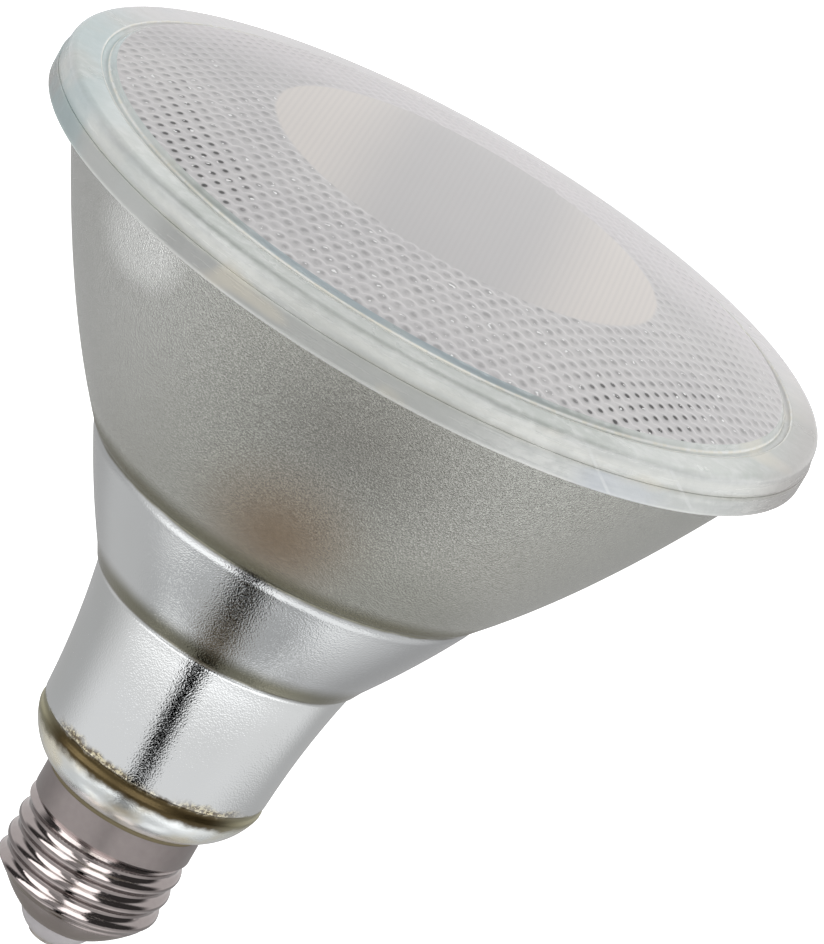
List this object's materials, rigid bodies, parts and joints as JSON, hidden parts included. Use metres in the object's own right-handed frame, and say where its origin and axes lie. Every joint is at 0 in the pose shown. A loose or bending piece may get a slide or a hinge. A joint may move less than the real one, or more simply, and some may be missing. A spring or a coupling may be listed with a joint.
{
  "type": "reflector lamp bulb",
  "caption": "Spotlight bulb with a stepped pressed glass bowl, a thick lenslet front lens and a rolled screw cap.",
  "frame": {"origin": "middle of the flat land of the centre contact, at the cap's end", "axes": "+Z along the lamp's axis from the cap to the front lens; +X and +Y square to it, with the driver board in the XZ plane"},
  "size_m": [0.123, 0.123, 0.134],
  "materials": {
    "silvered_glass": "satin stippled glass, aluminised inside",
    "lens_glass": "clear pressed glass with lenslets",
    "adhesive": "clear to milky silicone adhesive",
    "nickel_plate": "satin nickel-plated brass sheet",
    "insulator": "matte light grey",
    "contact": "bare rolled brass",
    "cement": "matte cement",
    "spreader": "pressed sheet, satin",
    "led_board": "white solder mask on aluminium",
    "led_package": "yellow phosphor in a white package",
    "screw_steel": "zinc-plated",
    "sleeve": "white moulding",
    "circuit_board": "green solder mask",
    "ferrite": "dark grey ferrite",
    "bobbin": "black moulding",
    "winding": "yellow winding tape",
    "capacitor": "dark shrunk sleeve",
    "film_box": "yellow box",
    "chip": "black moulding",
    "resistor": "lacquered",
    "varistor": "blue lacquered disc",
    "brown_wire": "brown insulation",
    "blue_wire": "blue insulation",
    "red_wire": "red insulation",
    "black_wire": "black insulation"
  },
  "bodies": {
    "root": {"reflector_bowl": "silvered_glass", "front_lens": "lens_glass", "lens_seal": "adhesive", "screw_shell": "nickel_plate", "cap_insulator": "insulator", "centre_contact": "contact", "cap_cement": "cement", "heat_spreader": "spreader", "led_board": "led_board", "leds": "led_package", "board_screws": "screw_steel", "driver_sleeve": "sleeve", "driver_board": "circuit_board", "transformer_core": "ferrite", "transformer_bobbin": "bobbin", "transformer_winding": "winding", "bulk_capacitor": "capacitor", "output_capacitor": "capacitor", "film_capacitor": "film_box", "input_choke": "bobbin", "rectifier_bridge": "chip", "driver_chip": "chip", "fusible_resistor": "resistor", "varistor": "varistor", "line_wire": "brown_wire", "neutral_wire": "blue_wire", "led_positive_wire": "red_wire", "led_negative_wire": "black_wire"}
  },
  "joints": []
}
